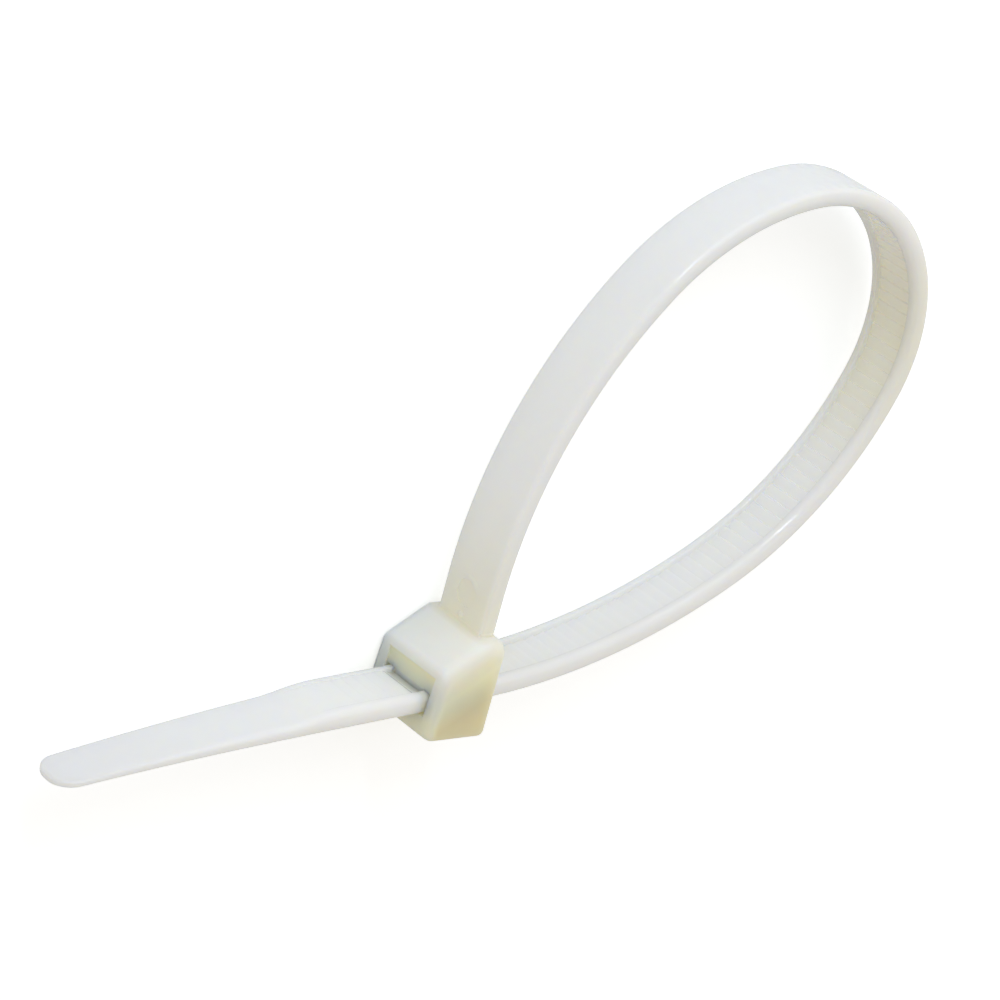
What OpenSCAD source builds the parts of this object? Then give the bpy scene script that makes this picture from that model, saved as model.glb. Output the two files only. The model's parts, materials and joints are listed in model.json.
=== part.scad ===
// One-piece moulded cable tie, closed into a teardrop loop with its tail pulled
// through the head. Millimetres. It lies on its side: Z runs across the strap,
// the root of the strap leaves the head along +Y and the tail leaves it
// towards -X. The origin is on the lower side face of the head, below the
// middle of the slot.

/* [Strap] */
// Width of the strap
strap_w = 7.2; // [6.6:0.1:7.8]
// Thickness of the strap over its rails
strap_t = 2.1; // [1.9:0.05:2.4]
// Width of each rail beside the rack
rail_w = 1.1; // [0.9:0.05:1.3]
// Depth of the channel between the rails
channel_d = 0.7; // [0.55:0.05:0.8]

/* [Rack] */
// Distance from one tooth to the next
tooth_pitch = 1.4; // [1.25:0.05:1.5]
// Height of a tooth above the floor of the channel
tooth_h = 0.35; // [0.3:0.05:0.5]
// Flat crest on a tooth
tooth_crest = 0.15; // [0.1:0.05:0.2]
// Lean of the locking face of a tooth
tooth_lean = 0.08; // [0.04:0.02:0.12]
// Plain channel between the root and the first tooth
rack_margin = 3; // [2:0.5:5]

/* [Loop] */
// Straight root of the strap above the head
root_l = 4; // [3.5:0.5:5]
// Radius of the first bend, on the centreline
bend1_r = 51.5; // [50:0.5:53]
// Turn of the first bend
bend1_a = 40; // [39:0.5:41]
// Radius of the second bend
bend2_r = 29; // [28:0.5:30]
// Turn of the second bend
bend2_a = 40; // [39:0.5:41]
// Radius of the tight bend at the far end of the loop
bend3_r = 17.5; // [17:0.5:18]
// Turn of the tight bend
bend3_a = 119; // [118:0.5:120]
// Turn of the fourth bend, whose radius closes the loop
bend4_a = 40; // [39:0.5:41]
// Straight stretch between the last bend and the head
lead_in = 1.8; // [1.4:0.2:2.6]

/* [Tail] */
// Ribbed strap beyond the exit of the head
ribbed_l = 9.7; // [8:0.1:12]
// Length of the smooth tail
tail_l = 33; // [30:0.5:40]
// Thickness of the smooth tail where the rails have run out
tail_t = 1.4; // [1.2:0.05:1.5]
// Thickness of the tail at its tip
tip_t = 0.7; // [0.6:0.05:0.9]
// Width of the tail at its tip
tip_w = 5.4; // [5:0.1:6]
// Radius of the corners of the tip
tip_r = 2.3; // [1.8:0.1:2.4]
// Length over which the rails run out into the tail
runout_l = 7; // [4:0.5:9]
// Turn of the tail away from the slot at the exit of the head
tail_turn = 2.2; // [0:0.2:3]
// Radius of the slight bow of the tail
tail_bow_r = 520; // [400:20:800]

/* [Head] */
// Width of the head, across the strap
head_w = 11; // [10.4:0.1:12]
// Length of the head along the slot
head_l = 7.6; // [7.2:0.1:8.2]
// Wall between the middle of the slot and the blank end
head_below = 3.7; // [3.4:0.1:4.2]
// Height of the head above the middle of the slot, at the root
head_above = 6.8; // [6.4:0.1:7.4]
// Height of the exit face above the middle of the slot
exit_h = 3.8; // [3.7:0.1:4.2]
// Lean of the exit face, inwards at its top
exit_lean = 0.6; // [0.3:0.1:0.8]
// Distance from the inner face of the root to the entry face
root_inset = 0.15; // [0.1:0.05:0.3]
// Rounding of the shoulder along the two side faces
shoulder_r = 1.6; // [1.2:0.1:1.8]
// Rounding of the other edges of the side faces
side_r = 0.4; // [0.3:0.1:0.6]
// Rounding between the shoulder and the exit face
cross_r = 0.9; // [0.6:0.1:1]
// Rounding of the two edges of the blank end that run across the strap
foot_r = 0.6; // [0.5:0.1:0.8]

/* [Slot and pawl] */
// Slant of the slot from the X axis
slot_a = 6; // [4:0.5:7]
// Clearance round the strap in the slot
slot_gap = 0.15; // [0.1:0.05:0.25]
// Flare of the slot at the entry
slot_flare = 0.6; // [0.4:0.1:0.8]
// Height of the pawl chamber above the middle of the slot
chamber_h = 2.95; // [2.8:0.05:3]
// Teeth on the pawl
pawl_teeth = 2; // [2:1:3]
// Clearance between the pawl and the rack
pawl_gap = 0.08; // [0.06:0.01:0.1]
// Clearance between the pawl and each rail
pawl_side = 0.3; // [0.2:0.05:0.4]
// Height of the back of the pawl above the middle of the slot
pawl_h = 2.25; // [2.1:0.05:2.3]
// Pawl beyond its last tooth
pawl_nose = 0.3; // [0.2:0.1:0.4]
// Diameter of the round mark that an ejector pin leaves on the root
mark_d = 3; // [2.5:0.25:3.5]
// Depth of the mark
mark_depth = 0.12; // [0.08:0.02:0.16]

/* [Hidden] */
$fn = 48;
nylon = [0.93, 0.92, 0.86];
// Facets in each rounded corner
corner_n = 5;
// How far a piece reaches into the one that carries it
bite = 0.2;
// How far a cut reaches past the face that it starts from
past = 2;
// Largest turn of the strap in one facet
facet_a = 2.5;
// End wall of the pawl chamber, which carries the pawl
chamber_end = tooth_pitch + 0.2;

mid_z = head_w / 2;
strap_z = mid_z - strap_w / 2;
root_x = head_l / 2 - root_inset - strap_t / 2;
bend_y = head_above + root_l;
channel_w = strap_w - 2 * rail_w;
// Heights above the centreline, towards the inside of the loop
rail_top = strap_t / 2;
floor_h = rail_top - channel_d;
crest_h = floor_h + tooth_h;

function unit(a) = [cos(a), sin(a)];
function right(a) = [sin(a), -cos(a)];
function cross2(u, v) = u.x * v.y - u.y * v.x;

// Step along a clockwise bend of radius 1 that starts at heading a and turns t
function bend_step(a, t) = right(a) - right(a - t);

// The fourth and fifth radii follow from the two ends of the loop
loop_turn = 270 - slot_a;
bend_turn = [bend1_a, bend2_a, bend3_a, bend4_a,
             loop_turn - bend1_a - bend2_a - bend3_a - bend4_a];
heading = [for (i = 0, a = 90; i < len(bend_turn); a = a - bend_turn[i], i = i + 1) a];
step = [for (i = [0 : len(bend_turn) - 1]) bend_step(heading[i], bend_turn[i])];
loop_start = [root_x, bend_y];
loop_end = (head_l / 2 + lead_in) * unit(slot_a);
open_gap = loop_end - loop_start - bend1_r * step[0] - bend2_r * step[1] - bend3_r * step[2];
bend4_r = cross2(open_gap, step[4]) / cross2(step[3], step[4]);
bend5_r = cross2(step[3], open_gap) / cross2(step[3], step[4]);
bend_r = [bend1_r, bend2_r, bend3_r, bend4_r, bend5_r];
bend_from = [for (i = 0, p = loop_start; i < len(bend_r); p = p + bend_r[i] * step[i], i = i + 1) p];
bend_l = [for (i = [0 : len(bend_r) - 1]) bend_r[i] * bend_turn[i] * PI / 180];
bend_s = [for (i = 0, s = 0; i <= len(bend_r); s = s + (i < len(bend_r) ? bend_l[i] : 0), i = i + 1) s];
loop_l = bend_s[len(bend_r)];
slot_heading = slot_a - 180;

// Bend that holds the distance s from the end of the root
function bend_of(s, i = 0) = i == len(bend_r) - 1 || s < bend_s[i + 1] ? i : bend_of(s, i + 1);

// The rack is set out from the middle of the slot, so it meets the pawl
slot_mid_s = loop_l + head_l / 2 + lead_in;
exit_s = slot_mid_s + head_l / 2 / cos(slot_a);
ribbed_end_s = exit_s + ribbed_l;
tip_s = ribbed_end_s + tail_l;
teeth_before = floor((slot_mid_s - rack_margin) / tooth_pitch);
teeth_after = floor((ribbed_end_s - slot_mid_s) / tooth_pitch) - 1;

// The tail bows towards the outside of the loop
exit_heading = slot_heading - tail_turn;
exit_point = loop_end + (exit_s - loop_l) * unit(slot_heading);
function bow_heading(s) = exit_heading + (s - exit_s) / tail_bow_r * 180 / PI;

// Point at distance s along the centreline, h above it towards the inside
function strap_point(s, h) =
    s < 0 ? loop_start + [h, s]
    : s > exit_s ? exit_point - tail_bow_r * right(exit_heading) + (tail_bow_r + h) * right(bow_heading(s))
    : s > loop_l ? loop_end + (s - loop_l) * unit(slot_heading) + h * right(slot_heading)
    : let (i = bend_of(s),
           a = heading[i] - (s - bend_s[i]) / bend_r[i] * 180 / PI,
           centre = bend_from[i] + bend_r[i] * right(heading[i]))
      centre - (bend_r[i] - h) * right(a);

// Polygon p with its corners rounded to the radii in r
function rounded(p, r) = [
    for (i = [0 : len(p) - 1])
        let (b = p[i],
             u = p[(i + len(p) - 1) % len(p)] - b,
             v = p[(i + 1) % len(p)] - b,
             eu = u / norm(u),
             ev = v / norm(v),
             half = acos(eu * ev) / 2,
             c = b + (eu + ev) / norm(eu + ev) * r[i] / sin(half),
             from = b + eu * r[i] / tan(half) - c,
             to = b + ev * r[i] / tan(half) - c,
             a0 = atan2(from.y, from.x),
             turn = (atan2(to.y, to.x) - a0 + 540) % 360 - 180)
        each (r[i] == 0 ? [b] : [for (k = [0 : corner_n]) c + r[i] * unit(a0 + turn * k / corner_n)])];

function reversed(p) = [for (i = [len(p) - 1 : -1 : 0]) p[i]];

// Side view of the strap: the outer face, the top of a rail, and the rack with
// the locking faces of its teeth towards the root
root_s = -root_l - bite;
stations = [root_s,
            for (i = [0 : len(bend_r) - 1])
                let (n = ceil(bend_turn[i] / facet_a))
                for (k = [0 : n - 1])
                    bend_s[i] + k * bend_l[i] / n,
            loop_l, exit_s];
tail_n = 8;
runout_s = ribbed_end_s + runout_l;
outer_line = [for (s = stations) strap_point(s, -rail_top),
              for (k = [1 : tail_n]) strap_point(exit_s + k * (tip_s - exit_s) / tail_n, -rail_top)];
tail_line = [for (k = [0 : tail_n])
                 strap_point(runout_s + k * (tip_s - runout_s) / tail_n,
                             tail_t + (tip_t - tail_t) * k / tail_n - rail_top)];
rail_line = [for (s = stations) strap_point(s, rail_top),
             strap_point(ribbed_end_s, rail_top),
             each tail_line];
teeth = [for (k = [-teeth_before : teeth_after])
             let (s = slot_mid_s + k * tooth_pitch)
             each [strap_point(s, floor_h),
                   strap_point(s + tooth_lean, crest_h),
                   strap_point(s + tooth_lean + tooth_crest, crest_h)]];
rack_line = [strap_point(root_s, rail_top),
             strap_point(0, rail_top),
             strap_point(0, floor_h),
             each teeth,
             strap_point(ribbed_end_s, floor_h),
             each tail_line];

// Strip of the strap with the side view between the outer face and the line
module strip(line, z, w) {
    translate([0, 0, strap_z + z])
        linear_extrude(w)
            polygon(concat(outer_line, reversed(line)));
}

// Everything beside the tapered plan of the tail
module tail_trim() {
    start = strap_point(ribbed_end_s, 0);
    chord = strap_point(tip_s, 0) - start;
    taper = (strap_w - tip_w) / 2 / norm(chord);
    wide = strap_w / 2 + past * taper;
    plan = [[-past, wide], [norm(chord), tip_w / 2], [norm(chord), -tip_w / 2], [-past, -wide]];
    translate([start.x, start.y, mid_z])
        rotate([90, 0, atan2(chord.y, chord.x)])
            translate([0, 0, -strap_t])
                linear_extrude(2 * strap_t)
                    difference() {
                        translate([-past, -strap_w])
                            square([norm(chord) + 2 * past, 2 * strap_w]);
                        polygon(rounded(plan, [0, tip_r, tip_r, 0]));
                    }
}

// Round mark that an ejector pin leaves on the root
module ejector_mark() {
    translate([root_x - rail_top + mark_depth, bend_y - mark_d / 4, mid_z])
        rotate([0, -90, 0])
            cylinder(d = mark_d, h = past);
}

module strap() {
    difference() {
        union() {
            strip(rail_line, 0, rail_w);
            strip(rack_line, rail_w, channel_w);
            strip(rail_line, rail_w + channel_w, rail_w);
        }
        tail_trim();
        ejector_mark();
    }
}

// Side view of the head
head_outline = [[-head_l / 2, -head_below], [head_l / 2, -head_below],
                [head_l / 2, head_above], [root_x - rail_top, head_above],
                [exit_lean - head_l / 2, exit_h]];
head_corner_r = [foot_r, foot_r, 0, 0, cross_r];
head_edge_r = [side_r, side_r, shoulder_r, shoulder_r, side_r];

// Tool that rounds the edge from p to q of a side face at z = 0 to radius r
module edge_tool(p, q, r) {
    d = q - p;
    arc = [for (k = [0 : corner_n]) [r, r] - r * unit(90 * k / corner_n)];
    translate([p.x, p.y, 0])
        rotate([0, 0, atan2(d.y, d.x)])
            translate([-past, 0, 0])
                rotate([90, 0, 90])
                    linear_extrude(norm(d) + 2 * past)
                        polygon(concat(arc, [[r, -past], [-past, -past], [-past, r]]));
}

module head_body() {
    n = len(head_outline);
    difference() {
        linear_extrude(head_w)
            polygon(rounded(head_outline, head_corner_r));
        for (i = [0 : n - 1], flip = [0, 1])
            translate([0, 0, flip * head_w])
                mirror([0, 0, flip])
                    edge_tool(head_outline[i], head_outline[(i + 1) % n], head_edge_r[i]);
    }
}

// Slot and pawl chamber, in a frame whose X axis is the middle of the slot
module slot_cut() {
    h = rail_top + slot_gap;
    w = strap_w + 2 * slot_gap;
    reach = head_l / 2 + past;
    flare_x = head_l / 2 - slot_flare;
    translate([0, 0, mid_z - w / 2])
        linear_extrude(w)
            polygon([[-reach, -h], [flare_x, -h], [reach, -h - slot_flare - past],
                     [reach, h + slot_flare + past], [flare_x, h],
                     [chamber_end, h], [chamber_end, chamber_h], [-reach, chamber_h]]);
}

// Pawl: a tongue from the end wall of the chamber towards the exit, with teeth
// that lie in the rack and take the pull of the strap
module pawl() {
    w = channel_w - 2 * pawl_side;
    crest = crest_h + pawl_gap;
    ramp = tooth_pitch - tooth_lean - tooth_crest;
    dip = crest - tooth_h * (1 - pawl_gap / ramp);
    nose = (1 - pawl_teeth) * tooth_pitch - pawl_nose;
    teeth = [for (j = [0 : pawl_teeth - 1])
                 let (x = (1 - j) * tooth_pitch)
                 each [[x + pawl_gap - tooth_lean, crest],
                       [x - tooth_lean - tooth_crest, crest],
                       [x - tooth_pitch + pawl_gap, dip]]];
    translate([0, 0, mid_z - w / 2])
        linear_extrude(w)
            polygon(concat([[chamber_end + bite, pawl_h + bite], [chamber_end + bite, crest + bite]],
                           [[chamber_end, crest + bite]], teeth,
                           [[nose + pawl_nose + pawl_gap - tooth_lean, crest], [nose, crest + bite],
                            [nose, pawl_h - bite], [nose + bite, pawl_h], [chamber_end, pawl_h + bite]]));
}

module cable_tie() {
    color(nylon) {
        difference() {
            head_body();
            rotate([0, 0, slot_a])
                slot_cut();
        }
        rotate([0, 0, slot_a])
            pawl();
        strap();
    }
}

cable_tie();
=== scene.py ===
import cmath
import json
import math

import bmesh
import bpy
from mathutils import Matrix, Vector

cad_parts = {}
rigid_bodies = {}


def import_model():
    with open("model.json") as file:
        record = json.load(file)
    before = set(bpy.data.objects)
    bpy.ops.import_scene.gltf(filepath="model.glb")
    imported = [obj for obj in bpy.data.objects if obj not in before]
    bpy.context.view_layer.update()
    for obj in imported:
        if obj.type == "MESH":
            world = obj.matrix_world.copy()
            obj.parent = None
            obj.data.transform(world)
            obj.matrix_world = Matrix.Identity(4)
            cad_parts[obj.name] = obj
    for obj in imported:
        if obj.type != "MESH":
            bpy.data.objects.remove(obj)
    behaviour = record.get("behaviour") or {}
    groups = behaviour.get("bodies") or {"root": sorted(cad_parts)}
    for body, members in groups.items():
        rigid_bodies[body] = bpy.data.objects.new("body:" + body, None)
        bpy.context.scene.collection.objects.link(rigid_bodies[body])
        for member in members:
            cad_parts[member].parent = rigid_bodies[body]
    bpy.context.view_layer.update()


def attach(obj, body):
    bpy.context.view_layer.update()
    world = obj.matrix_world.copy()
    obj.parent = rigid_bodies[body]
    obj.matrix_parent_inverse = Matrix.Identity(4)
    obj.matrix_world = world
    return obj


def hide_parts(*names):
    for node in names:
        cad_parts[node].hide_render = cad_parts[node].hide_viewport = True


for old in list(bpy.data.objects):
    bpy.data.objects.remove(old)
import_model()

MM = 0.001

# Section of the strap
STRAP_W = 7.2
STRAP_T = 2.1
RAIL_W = 1.1
CHANNEL_D = 0.7
OUTER_EDGE_R = 0.5
RAIL_EDGE_R = 0.75
LIP_R = 0.12

# Rack
TOOTH_PITCH = 1.4
TOOTH_H = 0.17
TOOTH_LEAN = 0.12
TOOTH_CREST = 0.2
RACK_MARGIN = 3

# Loop: radius and turn of each bend; the last two radii close the loop
ROOT_L = 4
ROOT_BITE = 0.8
BENDS = ((51.5, 40), (29, 40), (17.5, 119))
CLOSING_TURNS = (40, 25)
LEAD_IN = 1.8
SLOT_A = 6

# Tail: ribbed beyond the exit, then smooth and thinner, with a slight bow
RIBBED_L = 9.7
TAIL_L = 33
TAIL_T = 1.4
RUNOUT_L = 7
TAIL_TURN = 2.2
TAIL_BOW_R = 520

# Tip of the tail, whose end edge loses a share of its thickness over a short length
TIP_T = 0.7
TIP_W = 5.4
TIP_R = 2.3
TIP_EDGE_L = 0.35
TIP_EDGE_LOSS = 0.35

# Channel: where it opens at the root, fades round the exit, and the faint dish that is left on the tail
CHANNEL_OPENS_L = 0.6
FADE_BEFORE_EXIT = 0.7
FADE_PAST_EXIT = 1.2
CHANNEL_DISH = 0.15
DISH_RUNOUT = 0.7

# Stations of the strap's section, besides those at the edges of the teeth
CHANNEL_STEPS = (-0.6, -0.3, 0, 0.3, 0.6, 1.2, 2.0, 2.6)
RAMP_STEPS = (0.6, 1.0)
RUNOUT_STEPS = 60
TIP_STEPS = 10

# Points across the floor of the channel, as shares of half its width
FLOOR_STEPS = (1, 0.92, 0.5)

# Head
HEAD_W = 11
HEAD_L = 7.6
HEAD_BELOW = 3.7
HEAD_ABOVE = 6.8
EXIT_H = 3.8
EXIT_LEAN = 0.6
ROOT_INSET = 0.15
SHOULDER_R = 1.6
SIDE_R = 0.4
EXIT_R = 0.9
CROSS_R = 0.9
FOOT_R = 0.6
ENTRY_R = 0.35
EDGE_STEP = 10

# Fillet between the shoulder and the root
ROOT_FILLET = 0.5
FILLET_STEPS = 8
FILLET_DEPTH = 0.3
FILLET_MARGIN = 0.2

# Slot, and the rounded mouth in which it ends
SLOT_GAP = 0.15
SLOT_FLARE = 0.6
MOUTH_R = 0.22
MOUTH_STEP = 15
CUTTER_IN = 0.3
CUTTER_OUT = 0.5

# Pawl: its teeth, and the slanted back that fills the chamber near the mouth
CHAMBER_H = 2.95
CHAMBER_CLEAR = 0.2
CHAMBER_END = TOOTH_PITCH + CHAMBER_CLEAR
PAWL_GAP = 0.08
PAWL_SIDE = 0.14
PAWL_TEETH = 3
PAWL_NOSE = 0.25
TONGUE_T = 0.3
BACK_GAP = 0.04
BACK_SLANT = 0.32
BACK_END = -2.3

# Round mark of an ejector pin on the root, and the ridge beside it as distances and shares of its height
MARK_R = 1.5
MARK_DEPTH = 0.06
MARK_N = 48
RIDGE_H = 0.2
RIDGE_LEAST = 0.01
RIDGE_A = 20
RIDGE_SHAPE = ((-0.03, 1), (0.08, 0.9), (0.3, 0.4), (0.5, 0))

# Stub of the gate; its rings are shares of its height and radius, and it is shorter along the strap
GATE_R = 0.45
GATE_H = 0.16
GATE_ABOVE = 0.85
GATE_FLAT = 0.8
GATE_N = 18
GATE_RINGS = ((-0.3, 1.0), (0.0, 1.0), (0.5, 0.92), (0.85, 0.65), (1.0, 0.25))

# How far a piece reaches into the one that carries it, and a cut past the face that it starts from
OVERLAP = 0.1
BITE = 0.2
PAST = 2

# Points of one mesh that are closer than this are one point
SWEEP_WELD = 0.0005
WELD = 0.0002
SHARP_ANGLE = 38

MID_Z = HEAD_W / 2
RAIL_TOP = STRAP_T / 2
CHANNEL_W = STRAP_W - 2 * RAIL_W
ROOT_X = HEAD_L / 2 - ROOT_INSET - RAIL_TOP
BEND_Y = HEAD_ABOVE + ROOT_L
MARK_Y = BEND_Y - MARK_R / 2

# Side view of the head, with the rounding of its corners and of the edges along its side faces
HEAD_OUTLINE = [(-HEAD_L / 2, -HEAD_BELOW), (HEAD_L / 2, -HEAD_BELOW), (HEAD_L / 2, HEAD_ABOVE),
                (ROOT_X - RAIL_TOP, HEAD_ABOVE), (EXIT_LEAN - HEAD_L / 2, EXIT_H)]
HEAD_CORNER_R = (FOOT_R, FOOT_R, ENTRY_R, 0, CROSS_R)
HEAD_EDGE_R = (SIDE_R, SIDE_R, SHOULDER_R, SHOULDER_R, EXIT_R)

# Colours of the nylon, from the thin strap to the thick middle of the head: the grey-beige at 0.2 is painted
# shade at the strap's root and tight bend, and the dark yellow-tan at 1 is partly the colour of thick nylon
# and partly painted shade towards the foot of the head
NYLON_AND_PAINTED_SHADES = ((0, (0.90, 0.905, 0.885)), (0.2, (0.80, 0.79, 0.71)), (0.55, (0.90, 0.865, 0.62)),
                (1, (0.73, 0.65, 0.43)))

# Where the yellow-tan and the painted shade and light lie: each pair is the place where it starts and the
# place where it is full
HEAD_X = (4.2, 3.7)
SHOULDER_DOWN = (0.534, -0.845, 0)
# Yellow-tan of thick nylon and painted shade: the head darkens from the shoulder down to its foot
DEPTH_IN_HEAD = (-5.4, 1.0)
# Painted light: the pocket above the strap is painted a paler, warmer yellow, as a glow of light through the
# nylon in the shaded mouth of the slot
POCKET_FLOOR_H = (1.0, 1.2)
POCKET_ROOF_H = (3.1, 2.9)
POCKET_SIDE_Z = (3.9, 3.7)
POCKET_PAINTED_GLOW = 0.55
# Painted shade: the strap is painted darker grey-beige at its root and round the tight bend
ROOT_SHADE_Y = (24, 7)
ROOT_SHADE_X = (14, 8)
ROOT_STARTS_Y = (6.0, 6.8)
BEND_SHADE_X = (45, 53)
STRAP_PAINTED_SHADE = 0.2

# Where the head is paler again: the strap that it holds, which is thin nylon, and its exit side, which is
# painted paler as painted light on a face that lies in shade
HELD_STRAP_Z = (3.70, 3.64)
HELD_STRAP_H = (1.12, 1.06)
PAINTED_LIGHT_EXIT_X = (-2.4, -3.4)
PALER = 0.4

# Gloss: the head is duller up to the shoulder
DULL_Y = (7.6, 6.6)
DULL = 0.4
GLOSS = (0.10, 0.17)

# Clouding and waviness, as noise scales per metre
CLOUD_SCALE = 160.0
GLOSS_SCALE = 420.0
WAVE_SCALE = 600.0
CLOUD_TINT = 0.03

# Table, room and lamps
TABLE_HALF = 3
TABLE_COLOR = (0.89, 0.92, 0.95)
TABLE_SEEN = 0.43
ROOM_BRIGHT_SIDE = (0.55, 0.8, 0.22)
ROOM_LEAST = 0.33
ROOM_MOST = 0.91
ROOM_COLOR = (1.0, 0.95, 0.88)
LAMP_COLOR = (0.83, 0.92, 1.0)
LAMP_DISTANCE = 0.5
LAMP_TARGET = (0.01, 0.025, 0.005)

# Camera, fitted to the edges of the strap and the head in the photograph
CAMERA_PLACE = (-288.74, 180.75, 297.5)
CAMERA_TARGET = (2.59, 20.38, 5.5)
CAMERA_ROLL = 125.47
CAMERA_LENS = 159.4


def heading(degrees):
    """Unit step in the given direction, as a complex number."""
    return cmath.exp(1j * math.radians(degrees))


def right(degrees):
    """Unit step to the right of the given direction."""
    return -1j * heading(degrees)


def loop_arcs():
    """Start, radius, first heading, turn and first distance of each bend, then the end of the loop."""
    turns = [turn for _, turn in BENDS] + list(CLOSING_TURNS)
    starts = [90 - sum(turns[:i]) for i in range(len(turns))]
    steps = [right(a) - right(a - t) for a, t in zip(starts, turns)]
    start = complex(ROOT_X, BEND_Y)
    end = (HEAD_L / 2 + LEAD_IN) * heading(SLOT_A)
    gap = end - start - sum(r * step for (r, _), step in zip(BENDS, steps))
    across = (steps[3].conjugate() * steps[4]).imag
    radii = [r for r, _ in BENDS]
    radii.append((gap.conjugate() * steps[4]).imag / across)
    radii.append((steps[3].conjugate() * gap).imag / across)
    arcs, s = [], 0
    for r, a, t, step in zip(radii, starts, turns, steps):
        arcs.append((start, r, a, t, s))
        start += r * step
        s += r * math.radians(t)
    return arcs, end, s


ARCS, LOOP_END, LOOP_L = loop_arcs()
SLOT_MID_S = LOOP_L + HEAD_L / 2 + LEAD_IN
EXIT_S = SLOT_MID_S + HEAD_L / 2 / math.cos(math.radians(SLOT_A))
RIBBED_END_S = EXIT_S + RIBBED_L
TIP_S = RIBBED_END_S + TAIL_L
FIRST_TOOTH_S = SLOT_MID_S - math.floor((SLOT_MID_S - RACK_MARGIN) / TOOTH_PITCH) * TOOTH_PITCH
TEETH = math.floor((RIBBED_END_S - FIRST_TOOTH_S) / TOOTH_PITCH)
LAST_TOOTH_S = FIRST_TOOTH_S + TEETH * TOOTH_PITCH


def strap_point(s):
    """Point of the centreline at distance s from the root, as a complex number."""
    if s < 0:
        return complex(ROOT_X, BEND_Y + s)
    if s > EXIT_S:
        leave = SLOT_A - 180 - TAIL_TURN
        at = LOOP_END + (EXIT_S - LOOP_L) * heading(SLOT_A - 180)
        now = leave + math.degrees((s - EXIT_S) / TAIL_BOW_R)
        return at + TAIL_BOW_R * (right(now) - right(leave))
    if s > LOOP_L:
        return LOOP_END + (s - LOOP_L) * heading(SLOT_A - 180)
    start, r, a, _, s0 = next(arc for arc in reversed(ARCS) if arc[4] <= s)
    return start + r * (right(a) - right(a - math.degrees((s - s0) / r)))


def blend(x, low, high):
    """Eases from 0 at low to 1 at high."""
    t = min(max((x - low) / (high - low), 0), 1)
    return t * t * (3 - 2 * t)


def strap_stations():
    """Distances along the strap at which its section is set, with every edge of every tooth among them."""
    root = [-ROOT_L - ROOT_BITE, -ROOT_L, -ROOT_L / 2, *CHANNEL_STEPS]
    tooth = [0, TOOTH_LEAN, TOOTH_LEAN + TOOTH_CREST, *RAMP_STEPS]
    rack = [FIRST_TOOTH_S + k * TOOTH_PITCH + x for k in range(TEETH) for x in tooth]
    runout_l = TIP_S - TIP_R - LAST_TOOTH_S
    runout = [LAST_TOOTH_S + runout_l * k / RUNOUT_STEPS for k in range(RUNOUT_STEPS + 1)]
    tip = [TIP_S - TIP_R * (1 - math.sin(math.radians(90 * k / TIP_STEPS))) for k in range(1, TIP_STEPS + 1)]
    return [s for s in root if s < FIRST_TOOTH_S] + rack + runout + tip


def width_share(s):
    """Share of the full width at distance s, with the rounded corners of the tip."""
    w = STRAP_W + (TIP_W - STRAP_W) * max(s - RIBBED_END_S, 0) / TAIL_L
    d = max(s - (TIP_S - TIP_R), 0)
    return (w / 2 - TIP_R + math.sqrt(max(TIP_R**2 - d**2, 0))) * 2 / STRAP_W


def thickness_share(s):
    """Share of the full thickness at distance s."""
    end = RIBBED_END_S + RUNOUT_L
    t = STRAP_T + (TAIL_T - STRAP_T) * blend(s, RIBBED_END_S, end)
    t += (TIP_T - TAIL_T) * max(s - end, 0) / (TIP_S - end)
    return t / STRAP_T * (1 - TIP_EDGE_LOSS * blend(s, TIP_S - TIP_EDGE_L, TIP_S))


def channel_share(s):
    """Share of the full depth of the channel at distance s."""
    dish = CHANNEL_DISH * (1 - blend(s, RIBBED_END_S, RIBBED_END_S + RUNOUT_L * DISH_RUNOUT))
    fade = blend(s, EXIT_S - FADE_BEFORE_EXIT, EXIT_S + FADE_PAST_EXIT)
    return blend(s, 0, CHANNEL_OPENS_L) * (dish + (1 - dish) * (1 - fade))


def new_object(name, vertices, edges=(), faces=()):
    """Mesh object in the scene, from its points, edges and faces."""
    mesh = bpy.data.meshes.new(name)
    mesh.from_pydata(vertices, list(edges), list(faces))
    made = bpy.data.objects.new(name, mesh)
    bpy.context.collection.objects.link(made)
    return made


def store(made, name, values):
    """Keeps one number for each point of a mesh, for the nodes that shape the strap."""
    made.data.attributes.new(name, "FLOAT", "POINT").data.foreach_set("value", values)


def make_path():
    """Centreline of the strap, with what its section becomes at each station."""
    stations = strap_stations()
    points = [(p.real, p.imag, MID_Z) for p in map(strap_point, stations)]
    path = new_object("cable_tie", points, zip(range(len(points) - 1), range(1, len(points))))
    store(path, "distance", stations)
    for share in (width_share, thickness_share, channel_share):
        store(path, share.__name__, [share(s) for s in stations])
    return path


def corner(h, z, r, first, steps=4):
    """Points of a rounded corner whose arc starts at the angle first and turns a quarter to the left."""
    angles = [math.radians(first + 90 * k / steps) for k in range(steps + 1)]
    return [(h + r * math.cos(a), z + r * math.sin(a)) for a in angles]


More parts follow.
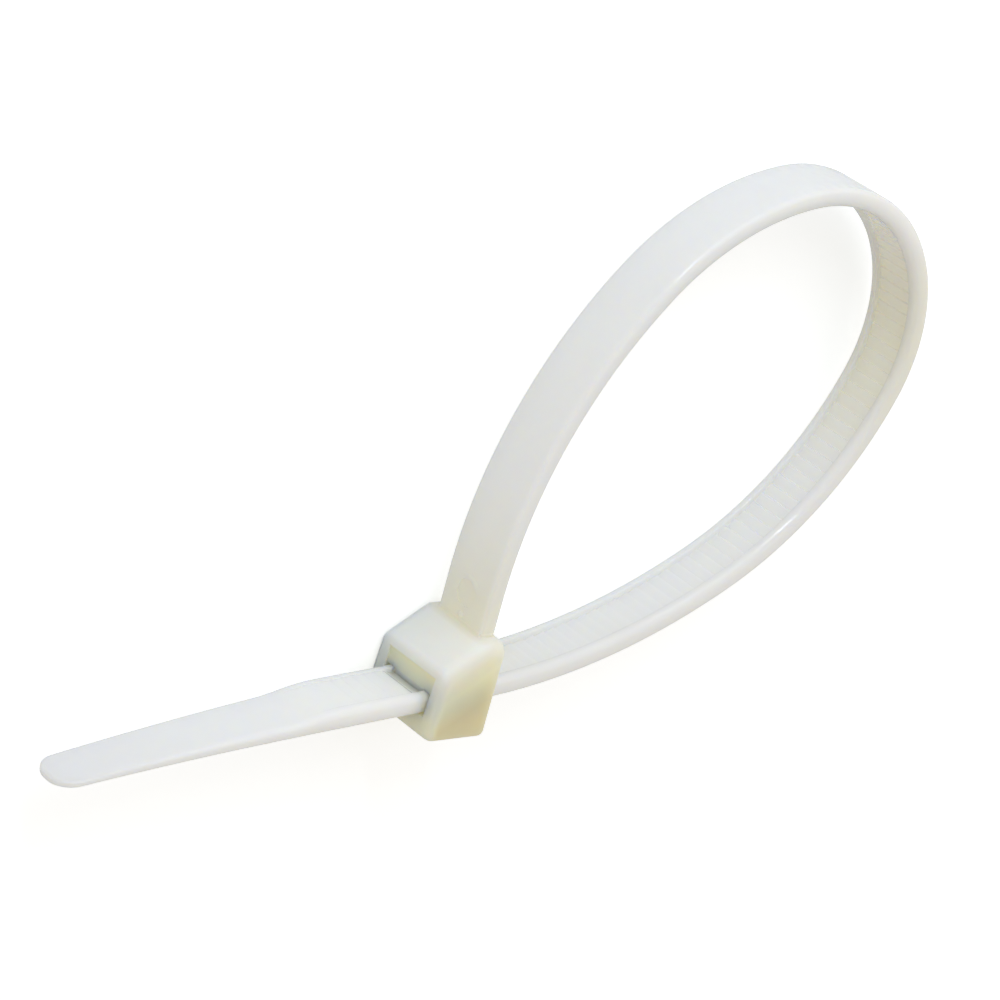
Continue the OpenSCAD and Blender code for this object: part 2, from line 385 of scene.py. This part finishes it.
def make_section():
    """Ring of the strap's section in the XY plane: X towards the inside of the loop, Y across the strap.

    Each point is its two places, how far it drops in the channel, and 1 where the teeth stand.
    """
    half = STRAP_W / 2
    channel = CHANNEL_W / 2
    side = [(*p, 0, 0) for p in corner(RAIL_TOP - RAIL_EDGE_R, half - RAIL_EDGE_R, RAIL_EDGE_R, 0, 8)]
    side += [(*p, 0, 0) for p in corner(OUTER_EDGE_R - RAIL_TOP, half - OUTER_EDGE_R, OUTER_EDGE_R, 90)]
    lip = [(RAIL_TOP, channel + LIP_R - y, LIP_R - x, 0) for x, y in corner(0, 0, LIP_R, 0, 3)]
    floor = [(RAIL_TOP, channel * step, CHANNEL_D, 1) for step in FLOOR_STEPS]
    upper = [*reversed(floor), *reversed(lip), *side, (-RAIL_TOP, half / 2, 0, 0)]
    lower = [(h, -y, drop, rack) for h, y, drop, rack in reversed(upper)]
    ring = [(RAIL_TOP, 0, CHANNEL_D, 1), *upper, (-RAIL_TOP, 0, 0, 0), *lower]
    count = len(ring)
    section = new_object("strap_section", [(h, y, 0) for h, y, _, _ in ring],
                         [(i, (i + 1) % count) for i in range(count)])
    store(section, "drop", [drop for _, _, drop, _ in ring])
    store(section, "rack", [rack for _, _, _, rack in ring])
    return section


def plug(tree, socket, value):
    """Links a socket to another one, or sets its value."""
    if isinstance(value, bpy.types.NodeSocket):
        tree.links.new(value, socket)
    else:
        socket.default_value = value


def calculate(tree, operation, *values):
    made = tree.nodes.new("ShaderNodeMath")
    made.operation = operation
    for socket, value in zip(made.inputs, values):
        plug(tree, socket, value)
    return made.outputs[0]


def product(tree, first, *others):
    """Multiplies any number of values."""
    for other in others:
        first = calculate(tree, "MULTIPLY", first, other)
    return first


def vector_math(tree, operation, *values, output="Vector"):
    made = tree.nodes.new("ShaderNodeVectorMath")
    made.operation = operation
    for socket, value in zip(made.inputs, values):
        plug(tree, socket, value)
    return made.outputs[output]


def scaled(tree, vector, factor):
    made = tree.nodes.new("ShaderNodeVectorMath")
    made.operation = "SCALE"
    plug(tree, made.inputs["Vector"], vector)
    plug(tree, made.inputs["Scale"], factor)
    return made.outputs["Vector"]


def axes_of(tree, vector):
    """The X, Y and Z of a vector."""
    apart = tree.nodes.new("ShaderNodeSeparateXYZ")
    plug(tree, apart.inputs[0], vector)
    return apart.outputs


def kept(tree, geometry, name, vector):
    """Stores a vector on the geometry under a name."""
    made = tree.nodes.new("GeometryNodeStoreNamedAttribute")
    made.data_type = "FLOAT_VECTOR"
    plug(tree, made.inputs["Geometry"], geometry)
    plug(tree, made.inputs["Name"], name)
    plug(tree, made.inputs["Value"], vector)
    return made.outputs["Geometry"]


def named(tree, name, kind="FLOAT"):
    """Reads what is stored on the geometry under a name."""
    made = tree.nodes.new("GeometryNodeInputNamedAttribute")
    made.data_type = kind
    made.inputs["Name"].default_value = name
    return next(socket for socket in made.outputs if socket.enabled)


def position(tree):
    return tree.nodes.new("GeometryNodeInputPosition").outputs["Position"]


def swept(tree, given):
    """Sweeps the section along the path, and keeps each point's place on both."""
    path = tree.nodes.new("GeometryNodeMeshToCurve")
    plug(tree, path.inputs["Mesh"], given["Path"])
    upright = tree.nodes.new("GeometryNodeSetCurveNormal")
    upright.mode = "Z_UP"
    plug(tree, upright.inputs["Curve"], path.outputs["Curve"])
    line = kept(tree, upright.outputs["Curve"], "centre", position(tree))
    tangent = tree.nodes.new("GeometryNodeInputTangent").outputs["Tangent"]
    line = kept(tree, line, "inside", vector_math(tree, "CROSS_PRODUCT", tangent, (0, 0, 1)))

    section = tree.nodes.new("GeometryNodeObjectInfo")
    plug(tree, section.inputs["Object"], given["Section"])
    ring = tree.nodes.new("GeometryNodeMeshToCurve")
    plug(tree, ring.inputs["Mesh"], section.outputs["Geometry"])
    sweep = tree.nodes.new("GeometryNodeCurveToMesh")
    plug(tree, sweep.inputs["Curve"], line)
    plug(tree, sweep.inputs["Profile Curve"], kept(tree, ring.outputs["Curve"], "flat", position(tree)))
    plug(tree, sweep.inputs["Fill Caps"], True)
    return sweep.outputs["Mesh"]


def channel_drop(tree, given):
    """How far each point lies below the top of the rails: the channel, less the tooth that stands in it."""
    s = named(tree, "distance")
    from_first = calculate(tree, "SUBTRACT", s, given["First Tooth"])
    along = calculate(tree, "WRAP", from_first, given["Tooth Pitch"], 0.0)
    rise = calculate(tree, "DIVIDE", along, given["Tooth Lean"])
    steep_l = calculate(tree, "ADD", given["Tooth Lean"], given["Tooth Crest"])
    ramp_l = calculate(tree, "SUBTRACT", given["Tooth Pitch"], steep_l)
    fall = calculate(tree, "DIVIDE", calculate(tree, "SUBTRACT", given["Tooth Pitch"], along), ramp_l)
    shape = calculate(tree, "MINIMUM", calculate(tree, "MINIMUM", rise, fall), 1.0)
    on_rack = product(tree, calculate(tree, "GREATER_THAN", s, given["First Tooth"]),
                      calculate(tree, "LESS_THAN", s, given["Last Tooth"]))
    tooth = product(tree, shape, on_rack, given["Tooth Height"])
    return calculate(tree, "SUBTRACT", named(tree, "drop"), product(tree, tooth, named(tree, "rack")))


def strap_place(tree, given):
    """Where each swept point goes, with the channel, the teeth and the taper of the tail."""
    flat = axes_of(tree, named(tree, "flat", "FLOAT_VECTOR"))
    half = product(tree, given["Thickness"], 0.5)
    drop = product(tree, channel_drop(tree, given), named(tree, "channel_share"))
    height = calculate(tree, "ADD", calculate(tree, "SUBTRACT", flat["X"], drop), half)
    height = calculate(tree, "SUBTRACT", product(tree, height, named(tree, "thickness_share")), half)
    lifted = vector_math(tree, "ADD", named(tree, "centre", "FLOAT_VECTOR"),
                         scaled(tree, named(tree, "inside", "FLOAT_VECTOR"), height))
    side = tree.nodes.new("ShaderNodeCombineXYZ")
    plug(tree, side.inputs["Z"], product(tree, flat["Y"], named(tree, "width_share")))
    return vector_math(tree, "ADD", lifted, side.outputs[0])


def strap_tree():
    """Sweeps a section along the path, opens the channel, raises the teeth in it and tapers the tail."""
    tree = bpy.data.node_groups.new("Ribbed strap", "GeometryNodeTree")
    tree.interface.new_socket("Path", in_out="INPUT", socket_type="NodeSocketGeometry")
    tree.interface.new_socket("Section", in_out="INPUT", socket_type="NodeSocketObject")
    for name in ("Thickness", "First Tooth", "Last Tooth", "Tooth Pitch", "Tooth Height", "Tooth Lean",
                 "Tooth Crest"):
        tree.interface.new_socket(name, in_out="INPUT", socket_type="NodeSocketFloat")
    tree.interface.new_socket("Material", in_out="INPUT", socket_type="NodeSocketMaterial")
    tree.interface.new_socket("Strap", in_out="OUTPUT", socket_type="NodeSocketGeometry")
    given = tree.nodes.new("NodeGroupInput").outputs

    place = tree.nodes.new("GeometryNodeSetPosition")
    plug(tree, place.inputs["Geometry"], swept(tree, given))
    plug(tree, place.inputs["Position"], strap_place(tree, given))
    joined = tree.nodes.new("GeometryNodeMergeByDistance")
    plug(tree, joined.inputs["Geometry"], place.outputs["Geometry"])
    plug(tree, joined.inputs["Distance"], SWEEP_WELD)
    real = tree.nodes.new("GeometryNodeRealizeInstances")
    plug(tree, real.inputs["Geometry"], joined.outputs["Geometry"])
    finish = tree.nodes.new("GeometryNodeSetMaterial")
    plug(tree, finish.inputs["Geometry"], real.outputs["Geometry"])
    plug(tree, finish.inputs["Material"], given["Material"])
    plug(tree, tree.nodes.new("NodeGroupOutput").inputs["Strap"], finish.outputs["Geometry"])
    return tree


def baked(made):
    """Turns an object with modifiers into a plain mesh."""
    plain = bpy.data.meshes.new_from_object(made.evaluated_get(bpy.context.evaluated_depsgraph_get()))
    made.modifiers.clear()
    made.data = plain
    return made


def outward(made):
    """Merges doubled points and turns every face outwards."""
    bm = bmesh.new()
    bm.from_mesh(made.data)
    bmesh.ops.remove_doubles(bm, verts=bm.verts, dist=WELD)
    bmesh.ops.recalc_face_normals(bm, faces=bm.faces)
    bm.to_mesh(made.data)
    bm.free()
    return made


def make_strap(material):
    """Strap with its rack and tail, from the root inside the head to the tip."""
    section = make_section()
    strap = make_path()
    sweep = strap.modifiers.new("ribbed strap", "NODES")
    sweep.node_group = strap_tree()
    values = {"Section": section, "Thickness": STRAP_T, "First Tooth": FIRST_TOOTH_S,
              "Last Tooth": LAST_TOOTH_S, "Tooth Pitch": TOOTH_PITCH, "Tooth Height": TOOTH_H,
              "Tooth Lean": TOOTH_LEAN, "Tooth Crest": TOOTH_CREST, "Material": material}
    for item in sweep.node_group.interface.items_tree:
        if item.in_out == "INPUT" and item.name in values:
            value = values[item.name]
            sweep[item.identifier] = float(value) if isinstance(value, (int, float)) else value
    baked(strap)
    bpy.data.objects.remove(section)
    return outward(strap)


def rounded(outline, radii, steps=5):
    """Closed outline with an arc of the given radius at each corner."""
    points = []
    for i, r in enumerate(radii):
        here = Vector(outline[i])
        back = (Vector(outline[i - 1]) - here).normalized()
        on = (Vector(outline[(i + 1) % len(outline)]) - here).normalized()
        half = back.angle(on) / 2
        centre = here + (back + on).normalized() * r / math.sin(half)
        first = here + back * r / math.tan(half) - centre
        last = here + on * r / math.tan(half) - centre
        start = math.atan2(first.y, first.x)
        turn = (math.atan2(last.y, last.x) - start + math.pi) % (2 * math.pi) - math.pi
        angles = [start + turn * k / steps for k in range(steps + 1)] if r else [0]
        points += [centre + Vector((math.cos(a), math.sin(a))) * r for a in angles]
    return points


def stacked(name, layers):
    """Closed body through outlines that lie one above the other."""
    count = len(layers[0][1])
    vertices = [(x, y, z) for z, outline in layers for x, y in outline]
    faces = [tuple(range(count - 1, -1, -1)), tuple(range(len(vertices) - count, len(vertices)))]
    for low in range(0, len(vertices) - count, count):
        faces += [(low + i, low + (i + 1) % count, low + count + (i + 1) % count, low + count + i)
                  for i in range(count)]
    return outward(new_object(name, vertices, faces=faces))


def prism(name, outline, low, high):
    """Closed body with the same outline from one height to another."""
    return stacked(name, [(low, outline), (high, outline)])


def combine(made, other, operation):
    """Joins or cuts two closed bodies, and removes the second one."""
    cut = made.modifiers.new("combine", "BOOLEAN")
    cut.solver = "MANIFOLD"
    cut.operation = operation
    cut.object = other
    baked(made)
    bpy.data.objects.remove(other)
    return made


def slot_turned(points):
    """Points given along and above the middle of the slot, turned into the part's frame."""
    turned = [complex(*p) * heading(SLOT_A) for p in points]
    return [(p.real, p.imag) for p in turned]


def head_layer(z):
    """Outline of the head at height z, drawn in where the edges of the side faces are rounded."""
    near = min(z, HEAD_W - z)
    lines = []
    for (x, y), on, r in zip(HEAD_OUTLINE, HEAD_OUTLINE[1:] + HEAD_OUTLINE[:1], HEAD_EDGE_R):
        along = (Vector(on) - Vector((x, y))).normalized()
        inset = r - math.sqrt(r**2 - max(r - near, 0) ** 2)
        lines.append((Vector((x - along.y * inset, y + along.x * inset)), along))
    corners = []
    for i, (start, along) in enumerate(lines):
        other, beside = lines[i - 1]
        corners.append(start + along * (other - start).cross(beside) / along.cross(beside))
    return rounded(corners, HEAD_CORNER_R)


def make_head():
    """Head with its slot, which is higher where the chamber of the pawl opens into the exit face."""
    angles = [math.radians(a) for a in range(0, 91, EDGE_STEP)]
    levels = {r * (1 - math.cos(a)) for r in HEAD_EDGE_R for a in angles}
    heights = sorted(levels | {HEAD_W - z for z in levels})
    head = stacked("head", [(z, head_layer(z)) for z in heights])
    h = RAIL_TOP + SLOT_GAP
    half_w = STRAP_W / 2 + SLOT_GAP
    reach = HEAD_L / 2 + PAST
    flare_x = HEAD_L / 2 - SLOT_FLARE
    flare_h = h + SLOT_FLARE + PAST
    slot = prism("slot", slot_turned([
        (-reach, -h), (flare_x, -h), (reach, -flare_h), (reach, flare_h), (flare_x, h), (BACK_END, h),
        (BACK_END, CHAMBER_H), (-reach, CHAMBER_H)]), MID_Z - half_w, MID_Z + half_w)
    combine(head, slot, "DIFFERENCE")
    return combine(head, make_mouth(half_w), "DIFFERENCE")


def make_mouth(half_w):
    """Cutter that rounds the edges of the slot where it opens into the exit face."""
    low, high = complex(*HEAD_OUTLINE[0]), complex(*HEAD_OUTLINE[4])
    up = (high - low) / abs(high - low)
    slant = heading(-SLOT_A)
    bottom, top = ((y - (low * slant).imag) / (up * slant).imag for y in (-RAIL_TOP - SLOT_GAP, CHAMBER_H))
    layers = [(-MOUTH_R - CUTTER_IN, -OVERLAP)]
    for a in range(0, 91, MOUTH_STEP):
        a = math.radians(a)
        layers.append((-MOUTH_R * (1 - math.sin(a)), MOUTH_R * (1 - math.cos(a))))
    layers.append((CUTTER_OUT, MOUTH_R))
    mouth = stacked("mouth", [
        (w, [(bottom - e, -half_w - e), (top + e, -half_w - e),
             (top + e, half_w + e), (bottom - e, half_w + e)])
        for w, e in layers])
    mouth.data.transform(Matrix(((up.real, 0, -up.imag, low.real), (up.imag, 0, up.real, low.imag),
                                 (0, -1, 0, MID_Z), (0, 0, 0, 1))))
    return outward(mouth)


def make_pawl():
    """Tongue with teeth in the rack, under a wider back that fills the mouth of the chamber."""
    half = CHANNEL_W / 2 - PAWL_SIDE
    crest = RAIL_TOP - CHANNEL_D + TOOTH_H + PAWL_GAP
    dip = crest - TOOTH_H * (1 - PAWL_GAP / (TOOTH_PITCH - TOOTH_LEAN - TOOTH_CREST))
    nose = (1 - PAWL_TEETH) * TOOTH_PITCH - PAWL_NOSE
    low = RAIL_TOP + BACK_GAP
    outline = [(CHAMBER_END + BITE, low + TONGUE_T), (CHAMBER_END + BITE, crest + BITE),
               (CHAMBER_END, crest + BITE)]
    for j in range(PAWL_TEETH):
        x = (1 - j) * TOOTH_PITCH
        outline += [(x + PAWL_GAP - TOOTH_LEAN, crest), (x - TOOTH_LEAN - TOOTH_CREST, crest),
                    (x - TOOTH_PITCH + PAWL_GAP, dip)]
    outline += [(nose, crest), (nose + OVERLAP, low + TONGUE_T)]
    tongue = prism("pawl", slot_turned(outline), MID_Z - half, MID_Z + half)
    high = CHAMBER_H + OVERLAP
    back = [(nose, low), (BACK_END + BITE, low), (BACK_END + BITE, high), (nose + BACK_SLANT, high)]
    half = STRAP_W / 2 + SLOT_GAP + OVERLAP
    return combine(tongue, prism("pawl_back", slot_turned(back), MID_Z - half, MID_Z + half), "UNION")


def make_root_fillet():
    """Concave fillet between the shoulder of the head and the outer face of the root."""
    at = complex(ROOT_X - RAIL_TOP, HEAD_ABOVE)
    slope = complex(EXIT_LEAN - HEAD_L / 2, EXIT_H) - at
    slope /= abs(slope)
    half = cmath.phase(slope / 1j) / 2
    r = ROOT_FILLET
    far = r / math.tan(half)
    centre = at + (1j * cmath.exp(1j * half)) * r / math.sin(half)
    first = cmath.phase(at + slope * far - centre)
    last = cmath.phase(at + 1j * far - centre)
    turn = (last - first + math.pi) % (2 * math.pi) - math.pi
    arc = [centre + r * cmath.exp(1j * (first + turn * k / FILLET_STEPS)) for k in range(FILLET_STEPS + 1)]
    end = far + OVERLAP
    inner = [at + 1j * end + FILLET_DEPTH, at + slope * end + FILLET_DEPTH * (1 - 1j)]
    half_w = STRAP_W / 2 - FILLET_MARGIN
    return prism("root_fillet", [(p.real, p.imag) for p in arc + inner], MID_Z - half_w, MID_Z + half_w)


def object_from(bm, name):
    """Mesh object in the scene, from a mesh that was edited."""
    made = new_object(name, [])
    bm.to_mesh(made.data)
    bm.free()
    return made


def make_ejector_pin():
    """Cutter for the round mark on the root."""
    bm = bmesh.new()
    turn = Matrix.Rotation(math.radians(-90), 4, "Y")
    place = Matrix.Translation((ROOT_X - RAIL_TOP + MARK_DEPTH - PAST / 2, MARK_Y, MID_Z))
    bmesh.ops.create_cone(bm, cap_ends=True, segments=MARK_N, radius1=MARK_R, radius2=MARK_R, depth=PAST,
                          matrix=place @ turn)
    return object_from(bm, "pin")


def make_mark_ridge():
    """Flash beside the ejector mark: a low ridge that is highest towards the bend and the near side."""
    face = ROOT_X - RAIL_TOP
    vertices, faces = [], []
    for k in range(MARK_N):
        way = heading(360 * k / MARK_N)
        lift = RIDGE_H * max((way / heading(RIDGE_A)).real, 0) ** 3 + RIDGE_LEAST
        section = [(r, share * lift) for r, share in RIDGE_SHAPE]
        section = [(section[0][0], -BITE), *section, (section[-1][0], -BITE)]
        vertices += [(face - out, MARK_Y + (MARK_R + r) * way.real, MID_Z + (MARK_R + r) * way.imag)
                     for r, out in section]
    count = len(RIDGE_SHAPE) + 2
    for k in range(MARK_N):
        a, b = k * count, (k + 1) % MARK_N * count
        faces += [(a + i, a + (i + 1) % count, b + (i + 1) % count, b + i) for i in range(count)]
    return outward(new_object("mark_ridge", vertices, faces=faces))


def make_gate_stub():
    """Stub left on the root where the plastic was let in."""
    bm = bmesh.new()
    loops = []
    y = HEAD_ABOVE + GATE_ABOVE
    ways = [heading(360 / GATE_N * k) for k in range(GATE_N)]
    for out, share in GATE_RINGS:
        x = ROOT_X - RAIL_TOP - out * GATE_H
        r = GATE_R * share
        loops.append([bm.verts.new((x, y + GATE_FLAT * r * way.real, MID_Z + r * way.imag)) for way in ways])
    for low, high in zip(loops, loops[1:]):
        for k in range(GATE_N):
            bm.faces.new((low[k], low[(k + 1) % GATE_N], high[(k + 1) % GATE_N], high[k]))
    bm.faces.new(loops[0])
    bm.faces.new(loops[-1])
    return outward(object_from(bm, "gate_stub"))


def cloud_group():
    """Soft clouding: a value that drifts over the surface, for colour and gloss."""
    group = bpy.data.node_groups.new("Cloud", "ShaderNodeTree")
    group.interface.new_socket("Scale", in_out="INPUT", socket_type="NodeSocketFloat")
    group.interface.new_socket("Low", in_out="INPUT", socket_type="NodeSocketFloat")
    group.interface.new_socket("High", in_out="INPUT", socket_type="NodeSocketFloat")
    group.interface.new_socket("Value", in_out="OUTPUT", socket_type="NodeSocketFloat")
    given = group.nodes.new("NodeGroupInput").outputs
    place = group.nodes.new("ShaderNodeTexCoord").outputs["Object"]
    noise = group.nodes.new("ShaderNodeTexNoise")
    noise.inputs["Detail"].default_value = 2
    plug(group, noise.inputs["Vector"], place)
    plug(group, noise.inputs["Scale"], given["Scale"])
    ranged = group.nodes.new("ShaderNodeMapRange")
    plug(group, ranged.inputs["Value"], noise.outputs[0])
    plug(group, ranged.inputs["From Min"], 0.2)
    plug(group, ranged.inputs["From Max"], 0.8)
    plug(group, ranged.inputs["To Min"], given["Low"])
    plug(group, ranged.inputs["To Max"], given["High"])
    plug(group, group.nodes.new("NodeGroupOutput").inputs["Value"], ranged.outputs[0])
    return group


def cloud(tree, group, scale, low, high):
    """Places the clouding in a material, with its own scale and range."""
    made = tree.nodes.new("ShaderNodeGroup")
    made.node_tree = group
    plug(tree, made.inputs["Scale"], scale)
    plug(tree, made.inputs["Low"], low)
    plug(tree, made.inputs["High"], high)
    return made.outputs["Value"]


def in_range(tree, value, places, kind="SMOOTHSTEP"):
    """0 up to the first place and 1 from the second; the places are millimetres and the value is metres."""
    made = tree.nodes.new("ShaderNodeMapRange")
    made.interpolation_type = kind
    plug(tree, made.inputs["Value"], value)
    plug(tree, made.inputs["From Min"], places[0] * MM)
    plug(tree, made.inputs["From Max"], places[1] * MM)
    return made.outputs[0]


def head_tint_and_painted_light(tree, place, axes):
    """Yellow-tan of the head, with painted shade and light: it darkens below the shoulder, partly as the
    colour of thick nylon and partly as painted shade; the exit side is painted paler as painted light, and
    the pocket above the strap holds a painted warm glow.
    """
    above_slot = vector_math(tree, "DOT_PRODUCT", place, (*slot_turned([(0, 1)])[0], 0), output="Value")
    sideways = calculate(tree, "ABSOLUTE", calculate(tree, "SUBTRACT", axes["Z"], MID_Z * MM))
    held_strap = product(tree, in_range(tree, sideways, HELD_STRAP_Z),
                         in_range(tree, calculate(tree, "ABSOLUTE", above_slot), HELD_STRAP_H))
    # Painted light on the exit side, which lies in shade; the held strap is paler as thin nylon
    paler = calculate(tree, "MAXIMUM", held_strap, in_range(tree, axes["X"], PAINTED_LIGHT_EXIT_X))
    # Thick nylon and painted shade: the colour darkens from the shoulder towards the foot of the head
    deep = vector_math(tree, "DOT_PRODUCT", place, SHOULDER_DOWN, output="Value")
    body = product(tree, in_range(tree, deep, DEPTH_IN_HEAD, "LINEAR"),
                   calculate(tree, "SUBTRACT", 1.0, product(tree, paler, PALER)))
    # Painted light: a paler, warm glow in the pocket above the strap, in the shaded mouth of the slot
    pocket = product(tree, in_range(tree, above_slot, POCKET_FLOOR_H),
                     in_range(tree, above_slot, POCKET_ROOF_H),
                     in_range(tree, sideways, POCKET_SIDE_Z), POCKET_PAINTED_GLOW)
    return calculate(tree, "MAXIMUM", body, pocket)


def strap_painted_shade(tree, axes):
    """Painted shade on the strap: it is darker grey-beige at its root and round the tight bend."""
    # Painted shade: darker at the root and round the tight bend
    root = product(tree, in_range(tree, axes["Y"], ROOT_SHADE_Y), in_range(tree, axes["X"], ROOT_SHADE_X),
                   in_range(tree, axes["Y"], ROOT_STARTS_Y))
    bend = in_range(tree, axes["X"], BEND_SHADE_X)
    return product(tree, calculate(tree, "MAXIMUM", root, bend), STRAP_PAINTED_SHADE)


def nylon_material():
    """Natural nylon: milky where it is thin and yellow-tan in the thick body of the head, with painted shade
    at the strap's root, its tight bend and the foot of the head, and painted light in the pocket above the
    strap and on the exit side.
    """
    material = bpy.data.materials.new("natural_nylon")
    material.use_nodes = True
    tree = material.node_tree
    shader = tree.nodes["Principled BSDF"]
    clouding = cloud_group()
    place = tree.nodes.new("ShaderNodeTexCoord").outputs["Object"]
    axes = axes_of(tree, place)
    head = in_range(tree, calculate(tree, "ABSOLUTE", axes["X"]), HEAD_X)
    in_head = product(tree, head, head_tint_and_painted_light(tree, place, axes))
    # Yellow-tan of thick nylon, painted shade and painted light, as one value for the colour ramp
    tint_and_painted_light = calculate(tree, "MAXIMUM", in_head, strap_painted_shade(tree, axes))
    tint_and_painted_light = calculate(tree, "ADD", tint_and_painted_light, cloud(tree, clouding, CLOUD_SCALE, -CLOUD_TINT, CLOUD_TINT))
    shade = tree.nodes.new("ShaderNodeValToRGB")
    for at, _ in NYLON_AND_PAINTED_SHADES[1:-1]:
        shade.color_ramp.elements.new(at)
    for stop, (_, color) in zip(shade.color_ramp.elements, NYLON_AND_PAINTED_SHADES):
        stop.color = (*color, 1)
    plug(tree, shade.inputs["Fac"], tint_and_painted_light)
    plug(tree, shader.inputs["Base Color"], shade.outputs["Color"])
    dull = product(tree, head, in_range(tree, axes["Y"], DULL_Y), DULL)
    plug(tree, shader.inputs["Roughness"],
         calculate(tree, "ADD", cloud(tree, clouding, GLOSS_SCALE, *GLOSS), dull))
    shader.inputs["IOR"].default_value = 1.53
    shader.inputs["Subsurface Weight"].default_value = 1.0
    shader.inputs["Subsurface Radius"].default_value = (1.0, 0.8, 0.5)
    shader.inputs["Subsurface Scale"].default_value = 0.006
    wave = tree.nodes.new("ShaderNodeBump")
    wave.inputs["Strength"].default_value = 0.12
    wave.inputs["Distance"].default_value = 0.0001
    plug(tree, wave.inputs["Height"], cloud(tree, clouding, WAVE_SCALE, 0.0, 1.0))
    plug(tree, shader.inputs["Normal"], wave.outputs["Normal"])
    return material


def table_material():
    """White table that is seen brighter than it is lit, and still keeps the shadow of the tie."""
    material = bpy.data.materials.new("white_table")
    material.use_nodes = True
    tree = material.node_tree
    shader = tree.nodes["Principled BSDF"]
    shader.inputs["Base Color"].default_value = (*TABLE_COLOR, 1)
    shader.inputs["Roughness"].default_value = 0.9
    shader.inputs["Specular IOR Level"].default_value = 0.1
    sight = tree.nodes.new("ShaderNodeLightPath").outputs
    plug(tree, shader.inputs["Emission Color"], (1, 1, 1, 1))
    plug(tree, shader.inputs["Emission Strength"], product(tree, sight["Is Camera Ray"], TABLE_SEEN))
    return material


def make_cable_tie():
    """The whole tie as one closed mesh in metres."""
    material = nylon_material()
    tie = make_strap(material)
    head = make_head()
    combine(head, make_pawl(), "UNION")
    combine(head, make_root_fillet(), "UNION")
    combine(tie, outward(head), "UNION")
    combine(tie, make_ejector_pin(), "DIFFERENCE")
    combine(tie, make_mark_ridge(), "UNION")
    combine(tie, make_gate_stub(), "UNION")
    outward(tie)
    tie.data.materials.clear()
    tie.data.materials.append(material)
    tie.data.transform(Matrix.Scale(MM, 4))
    tie.data.shade_smooth()
    tie.data.set_sharp_from_angle(angle=math.radians(SHARP_ANGLE))
    weighted = tie.modifiers.new("weighted normals", "WEIGHTED_NORMAL")
    weighted.keep_sharp = True
    return baked(tie)


def make_table():
    size = TABLE_HALF
    table = new_object("floor", [(-size, -size, 0), (size, -size, 0), (size, size, 0), (-size, size, 0)],
                       faces=[(0, 1, 2, 3)])
    table.data.materials.append(table_material())
    return table


def area_light(name, azimuth, elevation, size, power):
    """Soft lamp that looks at the loop, from the given direction in degrees."""
    flat = math.cos(math.radians(elevation))
    way = Vector((math.cos(math.radians(azimuth)) * flat, math.sin(math.radians(azimuth)) * flat,
                  math.sin(math.radians(elevation))))
    light = bpy.data.lights.new(name, "AREA")
    light.shape = "RECTANGLE"
    light.size, light.size_y = size
    light.energy = power
    light.color = LAMP_COLOR
    made = bpy.data.objects.new(name, light)
    bpy.context.collection.objects.link(made)
    made.location = Vector(LAMP_TARGET) + way * LAMP_DISTANCE
    made.rotation_euler = way.to_track_quat("Z", "Y").to_euler()


def make_world():
    """Room that is seen as plain white, and lights the tie most from the side of the window."""
    world = bpy.data.worlds.new("white_room")
    bpy.context.scene.world = world
    world.use_nodes = True
    tree = world.node_tree
    ground = tree.nodes["Background"]
    sight = tree.nodes.new("ShaderNodeLightPath").outputs
    seen = calculate(tree, "MAXIMUM", sight["Is Camera Ray"],
                     calculate(tree, "MAXIMUM", sight["Is Glossy Ray"], sight["Is Transmission Ray"]))
    way = tree.nodes.new("ShaderNodeTexCoord").outputs["Generated"]
    side = vector_math(tree, "DOT_PRODUCT", way, ROOM_BRIGHT_SIDE, output="Value")
    glow = tree.nodes.new("ShaderNodeMapRange")
    plug(tree, glow.inputs["Value"], side)
    plug(tree, glow.inputs["From Min"], -1.0)
    plug(tree, glow.inputs["To Min"], ROOM_LEAST)
    plug(tree, glow.inputs["To Max"], ROOM_MOST)
    tint = tree.nodes.new("ShaderNodeMix")
    tint.data_type = "RGBA"
    plug(tree, tint.inputs["Factor"], seen)
    plug(tree, tint.inputs["A"], (*ROOM_COLOR, 1))
    plug(tree, tint.inputs["B"], (1, 1, 1, 1))
    plug(tree, ground.inputs["Color"], tint.outputs["Result"])
    plug(tree, ground.inputs["Strength"], calculate(tree, "MAXIMUM", seen, glow.outputs[0]))


def make_light():
    make_world()
    area_light("window", azimuth=98, elevation=26, size=(0.34, 0.20), power=0.38)
    area_light("tall_lamp", azimuth=113, elevation=30, size=(0.03, 0.30), power=0.34)
    area_light("edge_lamp", azimuth=70, elevation=15, size=(0.03, 0.20), power=0.06)


def make_camera():
    """Camera that stands where the photograph was taken from."""
    camera = bpy.data.cameras.new("photo_camera")
    camera.sensor_width = 36
    camera.lens = CAMERA_LENS
    camera.clip_start = 0.01
    camera.clip_end = 10
    made = bpy.data.objects.new("photo_camera", camera)
    bpy.context.collection.objects.link(made)
    eye = Vector(CAMERA_PLACE) * MM
    look = Vector(CAMERA_TARGET) * MM
    made.location = eye
    level = (look - eye).to_track_quat("-Z", "Y")
    made.rotation_mode = "QUATERNION"
    made.rotation_quaternion = level @ Matrix.Rotation(math.radians(CAMERA_ROLL), 4, "Z").to_quaternion()
    bpy.context.scene.camera = made


def main():
    tie = make_cable_tie()
    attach(tie, "root")
    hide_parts("cable_tie")
    make_table()
    make_light()
    make_camera()
    bpy.context.scene.view_settings.view_transform = "Standard"


main()
